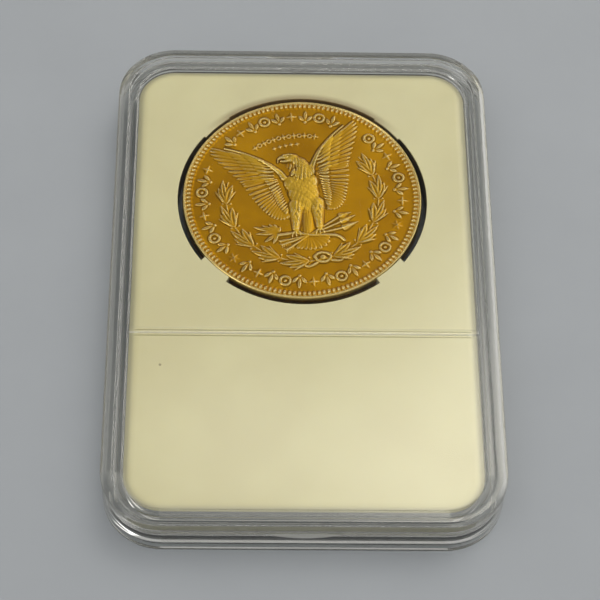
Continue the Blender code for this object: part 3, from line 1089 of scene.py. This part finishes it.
def draw_border(relief):
    """Stars, and plain ornaments where a real coin would carry its lettering."""
    for angle in (-90 - STAR_OFFSET, -90 + STAR_OFFSET):
        relief.star(polar(15.8, angle), 1.2, 0.62, 6, angle, 0.3)
    kinds = (draw_palmette, draw_lozenge, draw_palmette, draw_annulet)
    for first, last, count in ORNAMENT_ARCS:
        for number in range(count):
            angle = first + (last - first) * number / (count - 1)
            if all(abs(angle - tip) > WING_TIP_CLEARANCE for tip in WING_TIP_ANGLES):
                kinds[number % len(kinds)](relief, angle)
    for number in range(13):
        angle = 114 - 4 * number
        place = polar(12.15, angle)
        if number % 2:
            relief.ring(place, 0.32, 0.13, 0.2)
        else:
            relief.star(place, 0.85, 0.34, 4, angle, 0.36)
    for number in range(5):
        relief.star(polar(10.45, 101 - 5.2 * number), 0.62, 0.3, 4, 96, 0.32)


def draw_reverse(relief):
    draw_border(relief)
    draw_wreath(relief)
    for side in (-1, 1):
        draw_wing(relief, side)
    draw_legs_and_tail(relief)
    draw_body(relief)
    draw_branch_and_arrows(relief)


def draw_obverse(relief):
    """The hidden face: a compass star in a leaf ring, with no head and no lettering."""
    relief.star((0, 0), 9.0, 2.2, 8, 22.5, 0.5)
    relief.star((0, 0), 11.5, 2.6, 4, 0, 0.65)
    for number in range(36):
        start = polar(12.6, 10 * number)
        relief.leaf(start, polar(14.6, 10 * number + 7), 0.5, 0.24, groove=0.08)
    for number in range(24):
        kind = draw_lozenge if number % 2 else draw_annulet
        kind(relief, 15 * number)


FIELD_CELLS = BEAD_COUNT * POINTS_PER_BEAD // 4


def field_grid():
    """A square grid pressed into the field's circle, so that its edge has even spacing."""
    line = np.linspace(-1, 1, FIELD_CELLS + 1)
    b, a = np.meshgrid(line, line, indexing="ij")
    wide = np.abs(a) > np.abs(b)
    radius = np.where(wide, a, b)
    safe_a = np.where(wide, a, 1.0)
    safe_b = np.where(wide | (b == 0), 1.0, b)
    angle = np.where(
        wide, np.pi / 4 * b / safe_a, np.pi / 2 - np.pi / 4 * a / safe_b
    )
    angle = np.where(~wide & (b == 0), 0.0, angle)
    return radius * np.cos(angle) * FIELD_RADIUS, radius * np.sin(angle) * FIELD_RADIUS


def smooth(height, passes):
    for _ in range(passes):
        spread = height.copy()
        spread[1:-1, 1:-1] = (
            4 * height[1:-1, 1:-1]
            + height[:-2, 1:-1]
            + height[2:, 1:-1]
            + height[1:-1, :-2]
            + height[1:-1, 2:]
        ) / 8
        height = spread
    return height


def border_loop():
    """Grid indices round the field's edge, counter-clockwise."""
    size = FIELD_CELLS + 1
    grid = np.arange(size * size).reshape(size, size)
    return np.concatenate((grid[:-1, -1], grid[-1, :0:-1], grid[:0:-1, 0], grid[0, :-1]))


def face_heights(draw):
    x, y = field_grid()
    relief = Relief(x.ravel(), y.ravel())
    draw(relief)
    height = smooth(relief.height.reshape(x.shape), 1)
    cavity = height - smooth(height, 12)
    return x.ravel(), y.ravel(), height.ravel(), cavity.ravel()


BEAD_RINGS = 10
# How much of the drawn height each face keeps
REVERSE_RELIEF = 0.5
OBVERSE_RELIEF = 0.4
# Outside the beads: radius, depth below the rim and share of the reeding
RIM_PROFILE = (
    (RIM_RADIUS - 0.06, FIELD_DEPTH * 0.8, 0.0),
    (RIM_RADIUS, FIELD_DEPTH * 0.25, 0.0),
    (RIM_RADIUS + 0.06, 0.03, 0.0),
    (RIM_RADIUS + 0.1, 0.0, 0.0),
    (COIN_RADIUS - 0.26, 0.025, 0.0),
    (COIN_RADIUS - 0.16, 0.075, 0.0),
    (COIN_RADIUS - 0.08, 0.16, 0.0),
    (COIN_RADIUS - 0.02, 0.3, 0.2),
    (COIN_RADIUS, 0.5, 1.0),
    (COIN_RADIUS, 0.95, 1.0),
)


def rim_rings():
    """(radius, depth below the rim, bead share, reed share) from field to edge."""
    rings = []
    inner, outer = BEAD_RING
    for number in range(1, BEAD_RINGS + 1):
        across = number / BEAD_RINGS
        radius = inner + (outer - inner) * (across - 0.05)
        rings.append((radius, FIELD_DEPTH, max(0.0, 1 - (2 * across - 1.1) ** 2), 0.0))
    return rings + [(radius, depth, 0.0, reed) for radius, depth, reed in RIM_PROFILE]


def coin_side(angles, top):
    """The rings outside the field on one face: coordinates and relief, ring by ring. On the reeded
    side, relief holds painted shade.
    """
    bead = np.abs(np.sin(angles * BEAD_COUNT / 2))
    reed = 0.5 - 0.5 * np.cos(angles * REED_COUNT)
    turn = angles if top else -angles
    coords, relief = [], []
    for radius, depth, bead_share, reed_share in rim_rings():
        here = radius - REED_DEPTH * reed_share * reed
        up = BEAD_HEIGHT * np.sqrt(bead_share) * bead
        z = COIN_TOP - depth + up if top else COIN_BOTTOM + depth - up
        coords.append(np.stack((here * np.cos(turn), here * np.sin(turn), z), 1))
        # The rim is pale, and the reeded side is painted darker the deeper it stands: painted
        # shade of the narrow gap round the coin.
        pale_rim_and_painted_side_shade = 0.5 - 0.8 * depth**2
        relief.append(np.where(bead_share > 0, up - 0.05, pale_rim_and_painted_side_shade))
    return coords, relief


def quads_between(first, second):
    return np.stack((first, second, np.roll(second, -1), np.roll(first, -1)), 1)


def find_shift(points, upper, lower):
    """How far the lower ring, run backwards, must roll to stand under the upper one."""
    away = points[lower[::-1], :2] - points[upper[0], :2]
    return -int(np.argmin(np.hypot(*away.T))) % len(lower)


FIELD_BROWN = (0.52, 0.245, 0.002)
FIELD_GOLD = (0.65, 0.33, 0.005)
RELIEF_GOLD = (0.86, 0.57, 0.06)
CREST_GOLD = (1.0, 0.79, 0.33)
VALLEY_BROWN = (0.10, 0.045, 0.002)


def gold():
    """Gold plate: pale on the high places, brown in the low ones, with fine matt grain."""
    shader = Shader(bpy.data.materials.new("coin_gold"))
    where = shader.place()
    relief = shader.add("Attribute", attribute_name="relief").outputs["Fac"]
    cavity = shader.add("Attribute", attribute_name="cavity").outputs["Fac"]
    tone = shader.noise(where, 110.0, detail=3.0, roughness=0.6)
    brushed = shader.noise(where, 1.0, stretch=(400.0, 4000.0, 400.0), turn=20.0)
    colour = shader.blend(shader.ramp(tone, 0.3, 0.7), FIELD_BROWN, FIELD_GOLD)
    colour = shader.blend(shader.ramp(relief, 0.1, 0.6, 0.0, 0.65), colour, RELIEF_GOLD)
    crest = shader.ramp(cavity, 0.01, 0.07)
    colour = shader.blend(shader.product(crest, 0.85), colour, CREST_GOLD)
    # The valley colour darkens the hollows; on the reeded side the same colour is painted shade.
    colour = shader.blend(shader.ramp(cavity, -0.06, -0.008, 0.75, 0.0), colour, VALLEY_BROWN)
    rough = shader.math("MULTIPLY_ADD", tone, 0.1, 0.22)
    rough = shader.math("MULTIPLY_ADD", brushed, 0.1, rough)
    rough = shader.math("SUBTRACT", rough, shader.product(crest, 0.08))
    normal = shader.bump(shader.noise(where, 9000.0), strength=0.12, depth=0.02)
    return shader.principled(colour, rough, normal, metallic=1.0)


class CoinMesh:
    """Points and faces, with each point's relief and how far it stands out of its surroundings."""

    def __init__(self):
        self.points = []
        self.relief = []
        self.cavity = []
        self.faces = []
        self.total = 0

    def add_points(self, points, relief, cavity):
        """Adds points and returns their indices."""
        self.points.append(points)
        self.relief.append(relief)
        self.cavity.append(cavity)
        first = self.total
        self.total += len(points)
        return np.arange(first, self.total)

    def add_face(self, draw, top):
        """Adds the coin's upper or lower face, and returns the ring at its outer edge."""
        order = 1 if top else -1
        x, y, height, cavity = face_heights(draw)
        if top:
            z = COIN_TOP - FIELD_DEPTH + height * REVERSE_RELIEF
        else:
            z = COIN_BOTTOM + FIELD_DEPTH - height * OBVERSE_RELIEF
        field = self.add_points(np.stack((x, y * order, z), 1), height, cavity)
        grid = field.reshape(FIELD_CELLS + 1, -1)
        corners = (grid[:-1, :-1], grid[:-1, 1:], grid[1:, 1:], grid[1:, :-1])
        self.faces.append(np.stack(corners, -1).reshape(-1, 4)[:, ::order])
        loop = border_loop()
        previous = field[loop]
        for ring, relief in zip(*coin_side(np.arctan2(y[loop], x[loop]), top)):
            # Outside the field, a point stands out as far as it is pale; the reeded side's painted
            # shade sinks its low points.
            cavity = np.clip((relief - 0.06) * 0.6, -0.04, 0.1)
            here = self.add_points(ring, relief, cavity)
            self.faces.append(quads_between(previous, here)[:, ::order])
            previous = here
        return previous

    def build(self, name):
        mesh = bpy.data.meshes.new(name)
        mesh.from_pydata(self.placed().tolist(), [], np.concatenate(self.faces).tolist())
        mesh.polygons.foreach_set("use_smooth", [True] * len(mesh.polygons))
        for key, values in (("relief", self.relief), ("cavity", self.cavity)):
            attribute = mesh.attributes.new(key, "FLOAT", "POINT")
            attribute.data.foreach_set("value", np.concatenate(values).astype(np.float32))
        return new_object(name, mesh)

    def placed(self):
        """The points, turned and moved to the coin's place in the well, in metres."""
        points = np.concatenate(self.points)
        turn = math.radians(COIN_TURN)
        x = points[:, 0] * math.cos(turn) - points[:, 1] * math.sin(turn) + COIN_CENTRE.x
        y = points[:, 0] * math.sin(turn) + points[:, 1] * math.cos(turn) + COIN_CENTRE.y
        return np.stack((x, y, points[:, 2]), 1) * MM


def build_coin():
    coin = CoinMesh()
    upper = coin.add_face(draw_reverse, True)
    lower = coin.add_face(draw_obverse, False)
    # The two faces meet at the reeded edge. Below, the ring runs the other way round.
    shift = find_shift(np.concatenate(coin.points), upper, lower)
    coin.faces.append(quads_between(upper, np.roll(lower[::-1], shift)))
    dress(coin.build("gold_coin"), gold(), "coin")


# ---------------------------------------------------------------- label
PAPER_DARK = (0.74, 0.73, 0.69)
PAPER_PALE = (0.84, 0.83, 0.79)
BAND_BLUE = (0.05, 0.12, 0.26)
BAR_BLACK = (0.03, 0.03, 0.03)
RULE_GREY = (0.16, 0.16, 0.17)
BARS_PER_METRE = 2600.0
RULE_WIDTHS = (26.0, 34.0, 21.0)
LABEL_EDGE = 0.04


def printed_paper():
    """White card. The side that faces down has a coloured band, plain rules and a bar strip."""
    shader = Shader(bpy.data.materials.new("label_paper"))
    where = shader.place()
    fibre = shader.noise(where, 900.0, detail=4.0, roughness=0.7)
    paper = shader.blend(fibre, PAPER_DARK, PAPER_PALE)
    x, y, _ = shader.axes(where)
    edge, near, far = LABEL_HIGH.x, LABEL_LOW.y, LABEL_HIGH.y

    def box(low_x, high_x, low_y, high_y):
        """1 inside a rectangle given in millimetres."""
        sides = []
        for value, low, high in ((x, low_x, high_x), (y, low_y, high_y)):
            sides.append(shader.math("GREATER_THAN", value, low * MM))
            sides.append(shader.math("LESS_THAN", value, high * MM))
        return shader.product(*sides)

    band = box(-edge + 1.0, edge - 1.0, near + 1.0, near + 6.5)
    printed = shader.blend(band, paper, BAND_BLUE)
    column = shader.math("FLOOR", shader.product(x, BARS_PER_METRE))
    random = shader.add("TexWhiteNoise", {"W": column}, noise_dimensions="1D").outputs["Value"]
    bars = shader.product(
        shader.math("GREATER_THAN", random, 0.5),
        box(-edge + 3.0, -edge + 20.0, far - 7.0, far - 2.0),
    )
    printed = shader.blend(bars, printed, BAR_BLACK)
    for number, width in enumerate(RULE_WIDTHS):
        low = near + 9.5 + 3.2 * number
        printed = shader.blend(box(-width / 2, width / 2, low, low + 1.2), printed, RULE_GREY)
    facing = shader.add("NewGeometry").outputs["True Normal"]
    underside = shader.math("LESS_THAN", shader.axes(facing)[2], -0.5)
    colour = shader.blend(underside, paper, printed)
    normal = shader.bump(fibre, strength=0.2, depth=0.02)
    return shader.principled(colour, 0.62, normal)


def build_label():
    half_x, half_y, middle = label_size()
    rings = []
    for inset, height in (
        (LABEL_EDGE, LABEL_LOW.z),
        (0.0, LABEL_LOW.z + LABEL_EDGE),
        (0.0, LABEL_HIGH.z - LABEL_EDGE),
        (LABEL_EDGE, LABEL_HIGH.z),
    ):
        outline = rounded_rectangle(half_x - inset, half_y - inset, LABEL_CORNER - inset, 10)
        rings.append([(x, middle + y, height) for x, y in outline])
    label = loft("paper_label_card", rings)
    shade_by_angle(label.data, CORE_SHARP_ANGLE)
    dress(label, printed_paper(), "label_card")


# ---------------------------------------------------------------- stage
FLOOR_DARK = (0.30, 0.315, 0.33)
FLOOR_PALE = (0.34, 0.355, 0.37)
# In metres
FLOOR_SIZE = 12.0
FLOOR_GAP = 0.00002

# Name, azimuth and elevation in degrees, size in metres, radiance, colour, width of the soft
# edge as a share of the size, and whether it shows to rays that have passed through a shell
SOFT_BOXES = (
    ("window_light", 42.0, 48.0, (0.66, 0.66), 6.1, (1.0, 0.985, 0.95), 0.25, False),
    ("overhead_light", 160.0, 72.0, (0.5, 0.5), 4.7, (1.0, 0.99, 0.96), 0.3, False),
    ("sheen_light", 18.0, 64.0, (0.26, 0.3), 4.4, (1.0, 0.96, 0.84), 0.5, False),
    ("high_sheen_light", 2.0, 64.0, (0.34, 0.2), 2.6, (1.0, 0.97, 0.88), 0.5, False),
    ("fill_light", -110.0, 50.0, (0.6, 0.6), 1.8, (0.98, 0.99, 1.0), 0.25, True),
)

ROOM_COLOUR = (0.98, 0.99, 1.0)
HORIZON_STRENGTH = 0.56
ZENITH_STRENGTH = 0.44
# A dark flag hangs where the window would mirror the room into the camera.
FLAG_AZIMUTH = -2.0
FLAG_ELEVATION = 58.0
FLAG_INNER_ANGLE = 8.0
FLAG_OUTER_ANGLE = 24.0
FLAG_SHADE = 0.15

# The camera's place: angles in degrees, lengths in metres, and the lens in millimetres
CAMERA_AZIMUTH = 182.6
CAMERA_ELEVATION = 57.96
CAMERA_ROLL = 2.72
CAMERA_DISTANCE = 0.32765
CAMERA_TARGET = Vector((-0.00029, -0.00004, 0.0))
CAMERA_LENS = 125.0
CAMERA_CLIP = 0.01


def build_floor():
    bpy.ops.mesh.primitive_plane_add(size=FLOOR_SIZE, location=(0, 0, -FLOOR_GAP))
    floor = bpy.context.object
    floor.name = "floor"
    shader = Shader(bpy.data.materials.new("floor_paint"))
    where = shader.place()
    mottle = shader.noise(where, 45.0, detail=4.0, roughness=0.6)
    normal = shader.bump(shader.noise(where, 1400.0), strength=0.1, depth=0.05)
    colour = shader.blend(mottle, FLOOR_DARK, FLOOR_PALE)
    floor.data.materials.append(shader.principled(colour, 0.75, normal))


def direction(azimuth, elevation):
    """A unit vector. Azimuth 0 points beyond the slab's far end and 90 to its right."""
    turn, rise = math.radians(azimuth), math.radians(elevation)
    level = math.cos(rise)
    return Vector((math.sin(turn) * level, math.cos(turn) * level, math.sin(rise)))


def soft_box(name, azimuth, elevation, size, radiance, colour, feather, through_shells):
    """A studio soft box, 1 m away, that faces the slab and fades towards its edges."""
    light = bpy.data.lights.new(name, "AREA")
    light.shape = "RECTANGLE"
    light.size, light.size_y = size
    light.energy = radiance * math.pi * size[0] * size[1]
    light.color = colour
    shader = Shader(light)
    across = shader.axes(shader.add("NewGeometry").outputs["Parametric"])[:2]
    # PINGPONG folds 0 to 1 into the distance from the nearer edge.
    fades = [shader.ramp(shader.math("PINGPONG", part, 0.5), 0.0, feather) for part in across]
    shader.finish(shader.add("Emission", {"Strength": shader.product(*fades)}), "OutputLight")
    lamp = new_object(name, light)
    lamp.location = direction(azimuth, elevation)
    lamp.rotation_euler = (-lamp.location).to_track_quat("-Z", "Y").to_euler()
    lamp.visible_transmission = through_shells


def build_world():
    """A plain room, a little brighter at the horizon, with the dark flag in it."""
    shader = Shader(bpy.data.worlds.new("studio"))
    toward = shader.add("TexCoord").outputs["Generated"]
    up = shader.axes(toward)[2]
    room = shader.add(
        "MapRange", {"Value": up, "To Min": HORIZON_STRENGTH, "To Max": ZENITH_STRENGTH}
    ).outputs["Result"]
    closeness = shader.vector("DOT_PRODUCT", toward, direction(FLAG_AZIMUTH, FLAG_ELEVATION))
    outer = math.cos(math.radians(FLAG_OUTER_ANGLE))
    inner = math.cos(math.radians(FLAG_INNER_ANGLE))
    flag = shader.ramp(closeness, outer, inner, 1.0, FLAG_SHADE)
    inputs = {"Color": ROOM_COLOUR, "Strength": shader.product(room, flag)}
    bpy.context.scene.world = shader.finish(shader.add("Background", inputs), "OutputWorld")


def build_camera():
    """Looks down at the slab's near end from 58 degrees above the table, slightly turned."""
    back = direction(CAMERA_AZIMUTH, CAMERA_ELEVATION)
    right = (-back).cross(Vector((0, 0, 1))).normalized()
    up = right.cross(-back)
    roll = math.radians(CAMERA_ROLL)
    side = right * math.cos(roll) + up * math.sin(roll)
    over = up * math.cos(roll) - right * math.sin(roll)
    camera = new_object("camera", bpy.data.cameras.new("camera"))
    turn = Matrix((side, over, back)).transposed()
    place = Matrix.Translation(CAMERA_TARGET + back * CAMERA_DISTANCE)
    camera.matrix_world = place @ turn.to_4x4()
    camera.data.lens = CAMERA_LENS
    camera.data.clip_start = CAMERA_CLIP
    bpy.context.scene.camera = camera


def main():
    build_lower_shell()
    build_upper_shell()
    build_core()
    build_coin()
    build_label()
    build_floor()
    for lamp in SOFT_BOXES:
        soft_box(*lamp)
    build_world()
    build_camera()
    bpy.context.scene.view_settings.view_transform = "Standard"


main()

bpy.context.view_layer.update()
